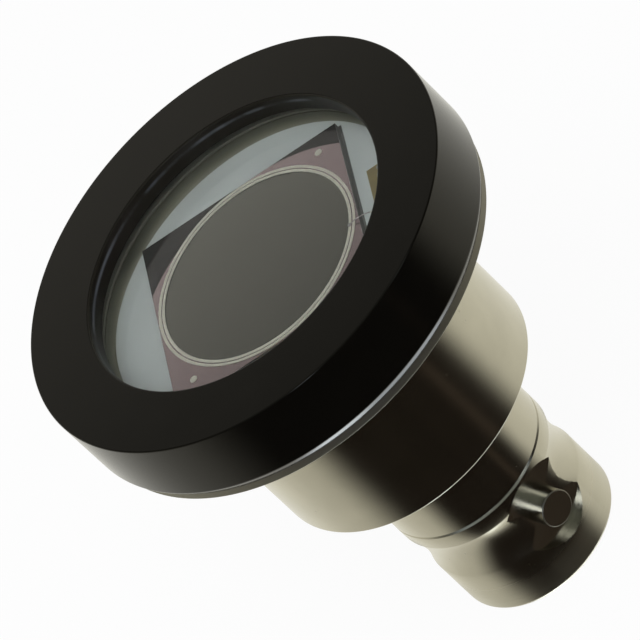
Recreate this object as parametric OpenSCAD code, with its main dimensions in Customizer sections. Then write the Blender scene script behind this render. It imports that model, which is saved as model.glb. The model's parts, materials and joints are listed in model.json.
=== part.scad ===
// Large-area silicon photodiode in a turned metal package with a coaxial bayonet connector.
// The part stands on the connector's mouth. z = 0 is the mouth plane, and +Z is the optical axis,
// which points out of the window. All sizes are in millimetres and degrees.

/* [Connector barrel] */
// Step of the front ring below the collar, on the radius
ring_step = 0.075; // [0.02:0.005:0.2]
// Length of the front ring
ring_len = 3.2; // [2.9:0.1:4]
// Rounding of the mouth's outer edge
mouth_round = 0.3; // [0.1:0.05:0.5]
// Wall of the front ring round the mouth
mouth_wall = 0.775; // [0.65:0.005:1.2]
// Depth of the hollow waist behind the front ring
waist_depth = 0.26; // [0.1:0.01:0.4]
// Length of the waist
waist_len = 3.0; // [2.6:0.1:3.6]
// Length of the collar that seats against the neck
collar_len = 0.95; // [0.7:0.05:1.5]
// Web between the mouth and the insulator's seat
web_t = 1.85; // [1.2:0.05:2.4]
// Length of the plug end
plug_len = 4.6; // [3.5:0.1:5]

/* [Bayonet lugs] */
// Diameter of a lug
lug_d = 2.0; // [1.8:0.05:2.1]
// Height of a lug above its spot-face
lug_len = 1.2; // [0.9:0.05:1.6]
// Distance of the lugs' axis behind the front ring
lug_set = 1.23; // [1:0.01:1.6]
// Direction of the first lug about the axis
lug_angle = -73; // [-180:1:180]
// Chamfer at a lug's tip
lug_chamfer = 0.15; // [0.05:0.05:0.25]
// Diameter of the spot-face milled round each lug
spot_d = 4.95; // [4.4:0.05:5.2]
// Wall left between a spot-face and the mouth
spot_wall = 0.25; // [0.15:0.05:0.45]

/* [Housing] */
// Diameter of the neck and of the barrel's collar
neck_d = 9.8; // [8.8:0.05:12]
// Wall of the neck round the barrel's plug end
neck_wall = 0.98; // [0.6:0.02:1.4]
// Length of the neck
neck_len = 5.35; // [5:0.05:9]
// Diameter of the body
body_d = 15.9; // [14:0.1:17.6]
// Length of the body
body_len = 10.25; // [9:0.05:16]
// Wall of the body
body_wall = 0.95; // [0.7:0.05:1.3]
// Thickness of the body's floor
body_floor = 1.5; // [0.8:0.1:2.5]
// Set-back of the flange's rim from the bezel's side
flange_inset = 0.3; // [0.1:0.05:1]
// Thickness of the flange's rim
flange_t = 0.55; // [0.3:0.05:0.9]
// Height of the substrate ledge above the flange's rear face
ledge_t = 1.05; // [1:0.05:1.6]
// Depth of the wire relief under the substrate
relief_depth = 0.45; // [0.42:0.01:0.6]
// Rounding of the rear edges of the body and of the flange
edge_round = 0.15; // [0.05:0.01:0.25]
// Chamfer on each side of the joint between neck and collar
joint_chamfer = 0.12; // [0.05:0.01:0.2]

/* [Front bezel] */
// Width of the front face round the aperture
face_w = 3.7; // [3:0.05:6]
// Overlap of the aperture's edge past the substrate's rim
aperture_lap = 0.2; // [0.1:0.05:0.6]
// Thickness of the aperture lip
lip_t = 1.2; // [0.8:0.05:1.8]
// Rounding of the aperture edge
aperture_round = 0.45; // [0.1:0.05:0.6]
// Rounding of the outer rear edge
rear_round = 0.45; // [0.1:0.05:0.6]
// Rounding of the outer front edge
front_round = 0.12; // [0.05:0.01:0.4]

/* [Window] */
// Thickness of the window
window_t = 1.0; // [0.7:0.05:1.6]
// Width of the window's rim under the lip
window_lap = 1.8; // [1.6:0.05:2]
// Thickness of the bonding ring under the window
seal_t = 0.15; // [0.05:0.01:0.3]
// Set-back of the bonding ring from the pocket's edge
seal_inset = 0.05; // [0.02:0.01:0.5]

/* [Die] */
// Side of the square die
die_side = 12.4; // [10.8:0.1:14]
// Thickness of the die
die_t = 0.4; // [0.3:0.01:0.6]
// Turn of the die about the axis
die_angle = -21.2; // [-180:0.1:180]
// Air gap between die and window
die_gap = 0.52; // [0.45:0.01:1.2]
// Thickness of the die bond
attach_t = 0.05; // [0.04:0.01:0.1]
// Width of the bond's lip round the die
attach_lip = 0.12; // [0.05:0.01:0.2]
// Bare silicon between the outer metal ring and the die's edge
ring_margin = 0.06; // [0.02:0.01:0.3]
// Depth of the active area's etched window
active_step = 0.02; // [0.01:0.01:0.05]
// Width of each metal ring
contact_w = 0.16; // [0.1:0.01:0.17]
// Gap between the two metal rings
contact_gap = 0.07; // [0.04:0.01:0.09]
// Thickness of the metal films
film_t = 0.03; // [0.02:0.01:0.035]
// Diameter of a probe dot
dot_d = 0.42; // [0.3:0.01:0.6]
// Distance of a probe dot from the die's two nearest edges
dot_inset = 1.29; // [0.6:0.01:1.4]

/* [Substrate] */
// Bare ceramic outside the die's corners
die_margin = 0.432; // [0.35:0.002:0.6]
// Thickness of the ceramic substrate
substrate_t = 0.63; // [0.5:0.01:0.8]
// Distance from the die's edge to the gold pads
pad_gap = 0.86; // [0.7:0.01:1]
// Width of a gold pad across the die's edge
pad_w = 1.67; // [1.4:0.01:1.8]
// Length of a gold pad along the die's edge
pad_len = 5.0; // [3.6:0.1:6]
// Reach of a gold pad past the die's centre line
pad_reach = 2.0; // [1.8:0.1:2.6]

/* [Wiring] */
// Diameter of the lead wires
lead_d = 0.4; // [0.3:0.02:0.4]
// Distance from a pad's inner edge to its lead
lead_in = 1.01; // [0.8:0.01:1.1]
// Distance of a lead from the die's centre line
lead_off = 1.13; // [0.8:0.01:1.4]
// Diameter of a solder joint's foot on a pad
solder_d = 1.0; // [0.9:0.05:1.1]
// Height of a solder joint
solder_h = 0.3; // [0.15:0.05:0.35]
// Diameter of the bond wire
bond_d = 0.06; // [0.04:0.01:0.08]
// Place of the bond wire along the die's edge
bond_y = -1.5; // [-2.2:0.05:-0.6]
// Rise of the bond wire's loop above its chord
bond_rise = 0.3; // [0.2:0.01:0.34]
// Outer diameter of the insulating sleeve
sleeve_d = 0.9; // [0.7:0.05:1.2]

/* [Connector inside] */
// Diameter of the insulator's nose
nose_d = 4.8; // [4.6:0.05:5]
// Recess of the insulator's nose behind the mouth
nose_recess = 0.45; // [0.2:0.05:0.8]
// Diameter of the insulator's rear part
insulator_d = 5.9; // [5.6:0.05:6.4]
// Diameter of the centre contact
contact_d = 2.16; // [2:0.02:2.4]
// Bore of the centre contact's socket
socket_d = 1.38; // [1.3:0.02:1.5]
// Depth of the socket
socket_depth = 5.0; // [4.5:0.1:6]
// Recess of the centre contact behind the insulator's nose
contact_recess = 0.3; // [0.1:0.05:0.6]
// Width of the slots in the socket
slot_w = 0.2; // [0.12:0.02:0.3]
// Length of the slots in the socket
slot_len = 3.6; // [2.5:0.1:4.2]
// Diameter of the contact's shoulder behind the insulator
shoulder_d = 3.0; // [2.6:0.1:3.6]
// Height of that shoulder
shoulder_h = 0.4; // [0.2:0.05:0.6]
// Diameter of the contact's solder cup
cup_d = 1.2; // [1:0.05:1.6]
// Length of the solder cup
cup_len = 1.2; // [0.8:0.05:1.8]

/* [Hidden] */
$fn = 96;
// Steps of a small rounding, of the waist's curve and of a wire's bend, and sides of a wire
round_steps = 8;
waist_steps = 14;
bend_steps = 5;
wire_sides = 12;
// Overlap that carries a cut clear of the face it opens
cut = 1;

// Radial clearance of pressed and cemented fits, and play of pieces that are only laid in
fit_gap = 0.02;
window_play = 0.2;
substrate_play = 0.03;
hole_play = 0.1;

// Radii
neck_r = neck_d / 2;
neck_bore_r = neck_r - neck_wall;
plug_r = neck_bore_r - fit_gap;
ring_r = neck_r - ring_step;
mouth_r = ring_r - mouth_wall;
spot_r = mouth_r + spot_wall;
body_r = body_d / 2;
body_bore_r = body_r - body_wall;
substrate_r = die_side / 2 * sqrt(2) + die_margin;
pocket_r = substrate_r + substrate_play;
aperture_r = substrate_r - aperture_lap;
window_r = aperture_r + window_lap;
spigot_r = window_r + window_play;
bezel_r = aperture_r + face_w;
flange_r = bezel_r - flange_inset;
lead_r = lead_d / 2;
nose_r = nose_d / 2;
insulator_r = insulator_d / 2;
contact_r = contact_d / 2;
hole_r = lead_r + hole_play;

// Heights, from the mouth up to the front face
z_ring = ring_len;
z_lug = z_ring + lug_set;
z_waist = z_ring + waist_len;
z_collar = z_waist + collar_len;
z_mouth = z_collar - web_t;
z_plug = z_collar + plug_len;
z_neck = z_collar + neck_len;
z_floor = z_neck + body_floor;
z_body = z_neck + body_len;
z_flange = z_body + flange_t;
z_ledge = z_body + ledge_t;
z_relief = z_ledge - relief_depth;
z_substrate = z_ledge + substrate_t;
z_pad = z_substrate + film_t;
z_die = z_substrate + attach_t;
z_die_top = z_die + die_t;
z_film = z_die_top + film_t;
z_window = z_die_top + die_gap;
z_rim = z_window - seal_t;
z_lip = z_window + window_t;
z_front = z_lip + lip_t;

// Heights of the connector's inner pieces
z_nose = nose_recess;
z_contact = z_nose + contact_recess;
insulator_inset = 0.15;
z_insulator = z_plug - insulator_inset;
z_shoulder = z_insulator + shoulder_h;
z_cup = z_shoulder + cup_len;

// Metal rings on the die, from its edge inwards, and the places of the probe dots
guard_out_r = die_side / 2 - ring_margin;
guard_in_r = guard_out_r - contact_w;
anode_out_r = guard_in_r - contact_gap;
anode_in_r = anode_out_r - contact_w;
dot_at = die_side / 2 - dot_inset;

// Gold pads in the die's own axes, and the margin of bare ceramic outside them
pad_x = die_side / 2 + pad_gap;
pad_margin = 0.15;
die_pad_inset = 0.6;
die_pad_side = die_side - 2 * die_pad_inset;

// Wire routes: place of the leads in the pads, relief round them, wire plane under the substrate,
// drop to the contact, and the joint on the housing's wall
lead_x = pad_x + lead_in;
lead_circle = norm([lead_x, lead_off]);
lead_turn = atan2(lead_off, lead_x);
lead_margin = 0.3;
relief_r = lead_circle + lead_r + lead_margin;
lead_stub = 0.2;
bend_r = 0.3;
z_lead_top = z_pad + solder_h + lead_stub;
z_wire = z_ledge - relief_depth / 2;
wire_inset = 0.9;
wire_in_r = body_bore_r - wire_inset;
anode_drop = 3.2;
z_drop = z_body - anode_drop;
ground_drop = 2.5;
z_ground = z_body - ground_drop;
ground_inset = 0.55;
ground_wire_r = body_bore_r - ground_inset;
ground_blob_r = 0.75;
sleeve_end_gap = 0.05;
sleeve_bend_gap = 0.6;

// Bond wire: two feet and an arc between them, in the plane y = bond_y of the die's axes
foot_r = 0.1;
foot_h = 0.06;
foot_in = 0.4;
bond_ring_r = (anode_in_r + anode_out_r) / 2;
bond_a = [sqrt(bond_ring_r * bond_ring_r - bond_y * bond_y), z_film + foot_h / 2];
bond_b = [pad_x + foot_in, z_pad + foot_h / 2];
bond_chord = bond_b - bond_a;
bond_half = norm(bond_chord) / 2;
bond_r = (bond_half * bond_half + bond_rise * bond_rise) / (2 * bond_rise);
bond_up = [-bond_chord[1], bond_chord[0]] / norm(bond_chord);
bond_centre = (bond_a + bond_b) / 2 - bond_up * (bond_r - bond_rise);
bond_start = atan2(bond_b[1] - bond_centre[1], bond_b[0] - bond_centre[0]);
bond_end = atan2(bond_a[1] - bond_centre[1], bond_a[0] - bond_centre[0]);

// Points of an arc about c, from angle a0 to angle a1
function arc(c, r, a0, a1) =
    [for (i = [0 : round_steps]) c + r * [cos(a0 + (a1 - a0) * i / round_steps),
                                          sin(a0 + (a1 - a0) * i / round_steps)]];

// Radius of the waist at the share s of its length, a shallow hollow between ring and collar
function waist_at(s) = ring_r + (neck_r - ring_r) * s - 4 * waist_depth * s * (1 - s);

// Solid of revolution about the optical axis, from a profile of [radius, height] points
module turned(profile) {
    rotate_extrude() polygon(profile);
}

// Tube between two heights
module tube(r_out, r_in, z0, z1) {
    difference() {
        translate([0, 0, z0]) cylinder(r = r_out, h = z1 - z0);
        translate([0, 0, z0 - cut]) cylinder(r = r_in, h = z1 - z0 + 2 * cut);
    }
}

// Direction of a route after its point i
function along(p, i) = (p[i + 1] - p[i]) / norm(p[i + 1] - p[i]);

// Points of the rounded bend at point i of a wire's route, where the route turns square
function bend(p, i) =
    let (u = along(p, i - 1), v = along(p, i), c = p[i] + bend_r * (v - u))
    [for (k = [0 : bend_steps])
        c + bend_r * (u * sin(90 * k / bend_steps) - v * cos(90 * k / bend_steps))];

// Centre line of a wire, with its bends rounded
function centre_line(p) =
    concat([p[0]], [for (i = [1 : len(p) - 2]) each bend(p, i)], [p[len(p) - 1]]);

// Normal of a centre line at point j, drawn out so that straight stretches keep their width
function mitre(q, j) =
    let (a = along(q, max(j - 1, 0)), b = along(q, min(j, len(q) - 2)))
    [-a[1] - b[1], a[0] + b[0]] / (1 + a * b);

// Corners of the wire's section at point j of its centre line
function section(q, j, r) =
    [for (k = [0 : wire_sides - 1])
        let (t = 360 * k / wire_sides, m = q[j] + r * cos(t) * mitre(q, j)) [m[0], r * sin(t), m[1]]];

// Wire in the plane y = 0, along a route of [x, z] points
module wire(p, r) {
    q = centre_line(p);
    last = len(q) - 1;
    n = wire_sides;
    side_faces = [for (j = [0 : last - 1], k = [0 : n - 1])
        [j * n + k, j * n + (k + 1) % n, (j + 1) * n + (k + 1) % n, (j + 1) * n + k]];
    polyhedron(
        points = [for (j = [0 : last]) each section(q, j, r)],
        faces = concat(side_faces,
                       [[for (k = [n - 1 : -1 : 0]) k]],
                       [[for (k = [0 : n - 1]) last * n + k]]));
}

// Places its children in the die's own axes
module on_die() {
    rotate([0, 0, die_angle]) children();
}

// Turns its children to the anode's lead, or to the cathode's, a quarter turn away
module at_lead(quarter) {
    rotate([0, 0, die_angle + lead_turn - 90 * quarter]) children();
}

module front_bezel() {
    color("#1c1b19") turned(concat(
        [[spigot_r + fit_gap, z_flange]],
        arc([bezel_r - rear_round, z_flange + rear_round], rear_round, -90, 0),
        arc([bezel_r - front_round, z_front - front_round], front_round, 0, 90),
        arc([aperture_r + aperture_round, z_front - aperture_round], aperture_round, 90, 180),
        [[aperture_r, z_lip], [spigot_r + fit_gap, z_lip]]));
}

module window_glass() {
    color([0.85, 0.92, 0.94, 0.35])
        translate([0, 0, z_window]) cylinder(r = window_r, h = window_t);
}

module window_seal() {
    color("#4a493f") tube(window_r - window_play / 2, pocket_r + seal_inset, z_rim, z_window);
}

// Lead holes through the substrate
module lead_holes() {
    for (quarter = [0, 1])
        at_lead(quarter) translate([lead_circle, 0, z_ledge - cut])
            cylinder(r = hole_r, h = substrate_t + 2 * cut);
}

module ceramic_substrate() {
    color("#d9dcdb") difference() {
        translate([0, 0, z_ledge]) cylinder(r = substrate_r, h = substrate_t);
        lead_holes();
    }
}

module silicon_die() {
    color("#786a6c") on_die() difference() {
        translate([-die_side / 2, -die_side / 2, z_die]) cube([die_side, die_side, die_t]);
        translate([0, 0, z_die_top - active_step]) cylinder(r = anode_in_r, h = cut);
    }
}

// Flat block in the die's axes, from corner to corner in plan, on the substrate
module film_block(x0, y0, x1, y1, h) {
    translate([x0, y0, z_substrate]) cube([x1 - x0, y1 - y0, h]);
}

module die_attach() {
    half = die_side / 2 + attach_lip;
    color("#55564f") difference() {
        on_die() film_block(-half, -half, half, half, attach_t);
        cathode_pad_shape();
    }
}

module anode_ring() {
    color("#b9b6a2") tube(anode_out_r, anode_in_r, z_die_top, z_film);
}

module guard_ring() {
    color("#b9b6a2") tube(guard_out_r, guard_in_r, z_die_top, z_film);
}

module probe_dots() {
    color("#b9b6a2") on_die() for (side = [-1, 1])
        translate([side * dot_at, side * dot_at, z_die_top]) cylinder(d = dot_d, h = film_t);
}

// Bond pad beside the die, kept off the substrate's rim and open at its lead
module lead_pad(quarter) {
    difference() {
        intersection() {
            rotate([0, 0, die_angle - 90 * quarter])
                film_block(pad_x, pad_reach - pad_len, pad_x + pad_w, pad_reach, film_t);
            translate([0, 0, z_substrate]) cylinder(r = substrate_r - pad_margin, h = cut);
        }
        lead_holes();
    }
}

module anode_pad() {
    color("#8b7d52") lead_pad(0);
}

// Pad under the die, joined by a bridge to its own lead pad
module cathode_pad_shape() {
    half = die_pad_side / 2;
    on_die() film_block(-half, -half, half, half, film_t);
    on_die() film_block(pad_reach - pad_len / 2 - pad_w, -pad_x, pad_reach - pad_w, -half + pad_margin,
                        film_t);
    lead_pad(1);
}

module cathode_pad() {
    color("#8b7d52") cathode_pad_shape();
}

// Foot of the bond wire, standing on a film
module bond_foot(x, z) {
    translate([x, bond_y, z]) cylinder(r = foot_r, h = foot_h);
}

module bond_wire() {
    color("#c9c6b4") on_die() {
        bond_foot(bond_a[0], z_film);
        bond_foot(bond_b[0], z_pad);
        translate([bond_centre[0], bond_y, bond_centre[1]])
            rotate([90, 0, 0])
                rotate([0, 0, bond_start])
                    rotate_extrude(angle = bond_end - bond_start)
                        translate([bond_r, 0]) circle(d = bond_d, $fn = 24);
    }
}

// Solder cone round a lead, on its pad
module lead_joint(quarter) {
    at_lead(quarter) translate([lead_circle, 0, z_pad]) difference() {
        cylinder(d1 = solder_d, r2 = lead_r + hole_play / 2, h = solder_h);
        translate([0, 0, -cut]) cylinder(r = lead_r, h = solder_h + 2 * cut);
    }
}

module anode_solder() {
    color("#a9aca9") lead_joint(0);
}

module cathode_solder() {
    color("#a9aca9") lead_joint(1);
}

module anode_lead() {
    color("#c2c4c2") at_lead(0) wire([
        [lead_circle, z_lead_top],
        [lead_circle, z_wire],
        [wire_in_r, z_wire],
        [wire_in_r, z_drop],
        [0, z_drop],
        [0, z_shoulder]
    ], lead_r);
}

module cathode_lead() {
    color("#c2c4c2") at_lead(1) wire([
        [lead_circle, z_lead_top],
        [lead_circle, z_wire],
        [ground_wire_r, z_wire],
        [ground_wire_r, z_ground]
    ], lead_r);
}

module lead_sleeve() {
    color("#e8e6dd")
        tube(sleeve_d / 2, lead_r + fit_gap, z_cup + sleeve_end_gap, z_drop - sleeve_bend_gap);
}

module ground_solder() {
    color("#a9aca9") difference() {
        intersection() {
            at_lead(1) translate([ground_wire_r, 0, z_ground]) sphere(r = ground_blob_r);
            translate([0, 0, z_floor]) cylinder(r = body_bore_r, h = z_body - z_floor);
        }
        at_lead(1) translate([ground_wire_r, 0, z_ground]) cylinder(r = lead_r, h = ground_blob_r + cut);
    }
}

module housing() {
    color("#b9b59c") turned(concat(
        [
            [neck_bore_r, z_collar],
            [neck_r - joint_chamfer, z_collar],
            [neck_r, z_collar + joint_chamfer],
            [neck_r, z_neck]
        ],
        arc([body_r - edge_round, z_neck + edge_round], edge_round, -90, 0),
        [[body_r, z_body]],
        arc([flange_r - edge_round, z_body + edge_round], edge_round, -90, 0),
        [
            [flange_r, z_flange],
            [spigot_r, z_flange],
            [spigot_r, z_rim],
            [pocket_r, z_rim],
            [pocket_r, z_ledge],
            [relief_r, z_ledge],
            [relief_r, z_relief],
            [body_bore_r, z_relief],
            [body_bore_r, z_floor],
            [neck_bore_r, z_floor]
        ]));
}

// Barrel as it comes off the lathe, before its lugs are milled
module barrel_blank() {
    turned(concat(
        [[mouth_r, 0]],
        arc([ring_r - mouth_round, mouth_round], mouth_round, -90, 0),
        [for (i = [0 : waist_steps]) [waist_at(i / waist_steps), z_ring + waist_len * i / waist_steps]],
        [
            [neck_r, z_collar - joint_chamfer],
            [neck_r - joint_chamfer, z_collar],
            [plug_r, z_collar],
            [plug_r, z_plug],
            [insulator_r + fit_gap, z_plug],
            [insulator_r + fit_gap, z_collar],
            [nose_r + fit_gap, z_collar],
            [nose_r + fit_gap, z_mouth],
            [mouth_r, z_mouth]
        ]));
}

// Lug with a chamfered tip, rooted in the barrel's wall
module lug() {
    root = mouth_r + spot_wall / 2;
    tip = spot_r + lug_len;
    rotate([0, 90, 0]) {
        translate([0, 0, root]) cylinder(d = lug_d, h = tip - lug_chamfer - root);
        translate([0, 0, tip - lug_chamfer])
            cylinder(d1 = lug_d, d2 = lug_d - 2 * lug_chamfer, h = lug_chamfer);
    }
}

module connector_barrel() {
    color("#b9b59c") {
        difference() {
            barrel_blank();
            for (turn = [0, 180]) rotate([0, 0, lug_angle + turn]) translate([spot_r, 0, z_lug])
                rotate([0, 90, 0]) cylinder(d = spot_d, h = neck_r);
        }
        for (turn = [0, 180]) rotate([0, 0, lug_angle + turn]) translate([0, 0, z_lug]) lug();
    }
}

module connector_insulator() {
    bore_r = contact_r + fit_gap;
    color("#ecebe6") turned([
        [bore_r, z_nose],
        [nose_r, z_nose],
        [nose_r, z_collar],
        [insulator_r, z_collar],
        [insulator_r, z_insulator],
        [bore_r, z_insulator]
    ]);
}

module centre_contact() {
    shoulder_r = shoulder_d / 2;
    cup_r = cup_d / 2;
    socket_r = socket_d / 2;
    color("#c8a552") difference() {
        turned([
            [socket_r, z_contact],
            [contact_r, z_contact],
            [contact_r, z_insulator],
            [shoulder_r, z_insulator],
            [shoulder_r, z_shoulder],
            [cup_r, z_shoulder],
            [cup_r, z_cup],
            [lead_r + fit_gap, z_cup],
            [lead_r + fit_gap, z_shoulder],
            [0, z_shoulder],
            [0, z_contact + socket_depth],
            [socket_r, z_contact + socket_depth]
        ]);
        for (turn = [0, 90]) rotate([0, 0, turn])
            translate([-contact_r - cut, -slot_w / 2, z_contact - cut])
                cube([2 * (contact_r + cut), slot_w, slot_len + cut]);
    }
}

front_bezel();
window_glass();
window_seal();
ceramic_substrate();
silicon_die();
die_attach();
anode_ring();
guard_ring();
probe_dots();
anode_pad();
cathode_pad();
bond_wire();
anode_solder();
cathode_solder();
anode_lead();
cathode_lead();
lead_sleeve();
ground_solder();
housing();
connector_barrel();
connector_insulator();
centre_contact();
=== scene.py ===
"""Finishes, fine meshes and studio stage for a large-area photodiode with a bayonet connector."""

import json
import math

import bmesh
import bpy
from bpy.props import FloatProperty, FloatVectorProperty, IntProperty, PointerProperty
from mathutils import Matrix, Vector


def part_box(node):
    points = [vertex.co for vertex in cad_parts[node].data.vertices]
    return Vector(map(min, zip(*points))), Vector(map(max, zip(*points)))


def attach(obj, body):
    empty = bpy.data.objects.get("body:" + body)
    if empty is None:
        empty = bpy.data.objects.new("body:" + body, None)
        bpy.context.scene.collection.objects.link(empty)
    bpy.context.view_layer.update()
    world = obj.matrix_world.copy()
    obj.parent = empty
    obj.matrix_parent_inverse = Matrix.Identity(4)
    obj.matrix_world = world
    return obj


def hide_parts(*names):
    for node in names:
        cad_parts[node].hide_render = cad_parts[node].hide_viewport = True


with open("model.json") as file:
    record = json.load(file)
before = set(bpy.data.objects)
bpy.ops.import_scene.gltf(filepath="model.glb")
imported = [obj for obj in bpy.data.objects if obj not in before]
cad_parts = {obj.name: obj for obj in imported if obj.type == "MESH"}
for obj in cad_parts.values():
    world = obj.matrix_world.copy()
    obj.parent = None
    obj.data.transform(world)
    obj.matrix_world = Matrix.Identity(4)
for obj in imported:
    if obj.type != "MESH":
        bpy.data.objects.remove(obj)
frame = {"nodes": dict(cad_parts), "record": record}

bl_info = {
    "name": "Photodiode finish",
    "version": (1, 0, 0),
    "blender": (4, 5, 0),
    "location": "View3D > Sidebar > Photodiode",
    "description": "Fine meshes, finishes and studio stage for a windowed photodiode",
    "category": "Object",
}

MM = 0.001
UM = 0.000001
DEGREE = math.radians(1.0)
BODY = "root"
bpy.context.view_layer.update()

# Heights and radii that the solids give
BEZEL_LOW, BEZEL_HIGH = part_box("front_bezel")
WINDOW_LOW, WINDOW_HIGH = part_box("window_glass")
HOUSING_LOW, HOUSING_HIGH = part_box("housing")
_, BARREL_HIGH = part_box("connector_barrel")
INSULATOR_LOW, INSULATOR_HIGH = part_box("connector_insulator")
SUBSTRATE_LOW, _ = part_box("ceramic_substrate")
_, DIE_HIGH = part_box("silicon_die")
_, RING_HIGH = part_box("anode_ring")
LEAD_LOW, LEAD_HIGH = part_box("anode_lead")
GROUND_LOW, GROUND_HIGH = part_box("cathode_lead")

# Width of a metal ring on the die, gap that keeps the bonding ring's top clear of the glass,
# and the window glass's index of refraction
CONTACT_WIDTH = 0.16 * MM
SEAL_GAP = 8 * UM
GLASS_IOR = 1.46

# Facets round a spot-face and round a lug, and steps along the waist
SPOT_FACETS = 96
LUG_FACETS = 64
WAIST_STEPS = 24

# Floor, and the cards that reflections show: their X, Y and height, or a reach and two angles
FLOOR_REACH = 2.0
FLOOR_DROP = 10 * UM
FLAG_REACH = 500 * MM
FLAG_SIDES = (-142 * DEGREE, 132 * DEGREE)
FLAG_HEIGHTS = (-72 * DEGREE, 84 * DEGREE)
CEILING_X, CEILING_Y, CEILING_Z = (-130 * MM, 130 * MM), (-20 * MM, 250 * MM), 75 * MM
UNDER_X, UNDER_Y, UNDER_Z = (-46 * MM, 46 * MM), (-24 * MM, 38 * MM), -100 * MM

# Light and camera: the key light's diameter, colour and place, the picture's side in pixels,
# the sensor's width in millimetres and the nearest and farthest distance that shows
PURE_WHITE = (1.0, 1.0, 1.0)
WARM_WHITE = (1.0, 0.985, 0.90)
KEY_SIZE = 260 * MM
KEY_COLOUR = (0.94, 0.97, 1.0)
KEY_PLACE = (-40 * MM, -230 * MM, 390 * MM)
PICTURE = 640
SENSOR_WIDTH = 36.0
CLIP_START, CLIP_END = 10 * MM, 10.0


def length(name, description, default):
    """A length property, in metres."""
    return FloatProperty(name=name, description=description, default=default, min=0.0,
                         precision=5, subtype="DISTANCE", unit="LENGTH")


def angle(name, description, degrees):
    """An angle property, given in degrees."""
    return FloatProperty(name=name, description=description, default=math.radians(degrees),
                         subtype="ANGLE", unit="ROTATION")


def number(name, description, default, unit="NONE"):
    """A property that is a plain number, or one with a unit."""
    return FloatProperty(name=name, description=description, default=default, unit=unit)


def colour(name, description, default):
    """A linear colour property."""
    return FloatVectorProperty(name=name, description=description, default=default, size=3,
                               min=0.0, max=1.0, subtype="COLOR")


class BezelSizes(bpy.types.PropertyGroup):
    """Sizes of the black front bezel and of the window behind it."""

    radius: length("Radius", "Outer radius of the bezel", BEZEL_HIGH.x)
    bore: length("Bore", "Radius of the bore over the housing's spigot", 11.02 * MM)
    aperture: length("Aperture", "Radius of the light aperture", 9.0 * MM)
    aperture_round: length("Aperture rounding", "Rounding of the aperture's edge", 0.12 * MM)
    front_round: length("Front rounding", "Rounding of the outer front edge", 0.08 * MM)
    rear_tilt: angle("Rear tilt", "Tilt of the chamfer at the outer rear edge", 29.0)
    rear_chamfer: length("Rear chamfer", "Length of the chamfer at the outer rear edge", 0.4 * MM)
    rear_foot: length("Rear foot", "Rounding below that chamfer", 0.1 * MM)
    rear_shoulder: length("Rear shoulder", "Rounding above that chamfer", 0.3 * MM)
    glass_chamfer: length("Glass chamfer", "Chamfer on the window's rim", 0.05 * MM)


class HousingSizes(bpy.types.PropertyGroup):
    """Sizes of the turned nickel housing."""

    neck: length("Neck", "Radius of the neck", 4.9 * MM)
    neck_bore: length("Neck bore", "Radius of the neck's bore", 3.92 * MM)
    neck_end: length("Neck end", "Height where the neck meets the body", 12.5 * MM)
    floor: length("Floor", "Height of the body's floor", 14.0 * MM)
    body: length("Body", "Radius of the body", 7.95 * MM)
    body_bore: length("Body bore", "Radius of the body's bore", 7.0 * MM)
    flange_rear: length("Flange rear", "Height of the flange's rear face", 22.75 * MM)
    spigot: length("Spigot", "Radius of the spigot inside the bezel", 11.0 * MM)
    pocket: length("Pocket", "Radius of the substrate's pocket", 9.23 * MM)
    relief: length("Relief", "Radius of the wire relief", 8.65 * MM)
    relief_floor: length("Relief floor", "Height of the wire relief's floor", 23.35 * MM)
    edge_round: length("Edge rounding", "Rounding of the rear edges of body and flange", 0.11 * MM)
    chamfer: length("Chamfer", "Chamfer on each side of the joint to the collar", 0.09 * MM)


class BarrelSizes(bpy.types.PropertyGroup):
    """Sizes of the bayonet barrel, its lugs and the insulator inside it."""

    ring: length("Ring", "Radius of the front ring", 4.825 * MM)
    ring_end: length("Ring end", "Height where the waist starts", 3.2 * MM)
    mouth: length("Mouth", "Radius of the mouth", 4.05 * MM)
    mouth_floor: length("Mouth floor", "Depth of the mouth", 5.3 * MM)
    mouth_round: length("Mouth rounding", "Rounding of the mouth's outer edge", 0.3 * MM)
    waist_depth: length("Waist depth", "Depth of the hollow waist", 0.26 * MM)
    waist_end: length("Waist end", "Height where the collar starts", 6.2 * MM)
    plug: length("Plug", "Radius of the plug end in the neck", 3.9 * MM)
    lug: length("Lug", "Radius of a lug", 1.0 * MM)
    lug_tip: length("Lug tip", "Distance of a lug's tip from the axis", 5.5 * MM)
    lug_height: length("Lug height", "Height of the lugs' axis", 4.43 * MM)
    lug_chamfer: length("Lug chamfer", "Chamfer at a lug's tip", 0.05 * MM)
    lug_turn: angle("Lug turn", "Direction of the first lug about the axis", -73.0)
    spot: length("Spot-face", "Radius of the spot-face round a lug", 2.475 * MM)
    spot_floor: length("Spot-face floor", "Distance of a spot-face from the axis", 4.3 * MM)
    nose: length("Nose", "Radius of the insulator's nose", 2.4 * MM)
    nose_bore: length("Nose bore", "Radius of the insulator's bore", 1.1 * MM)
    fit: length("Fit", "Radial clearance of the pressed fits", 0.02 * MM)


class WiringSizes(bpy.types.PropertyGroup):
    """Sizes of the two lead wires."""

    wire: length("Wire", "Radius of a lead wire", 0.2 * MM)
    bend: length("Bend", "Radius of a wire's bends", 0.3 * MM)
    circle: length("Lead circle", "Distance of the leads from the axis", 8.149 * MM)
    inner: length("Inner run", "Distance of the anode's drop from the axis", 6.1 * MM)
    ground: length("Ground run", "Distance of the cathode's drop from the axis", 6.45 * MM)
    plane: length("Wire plane", "Height of the wires under the substrate", 23.575 * MM)
    drop: length("Drop", "Height of the anode's run to the axis", 19.55 * MM)
    turn: angle("Turn", "Direction of the anode's lead about the axis", -13.23)


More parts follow.
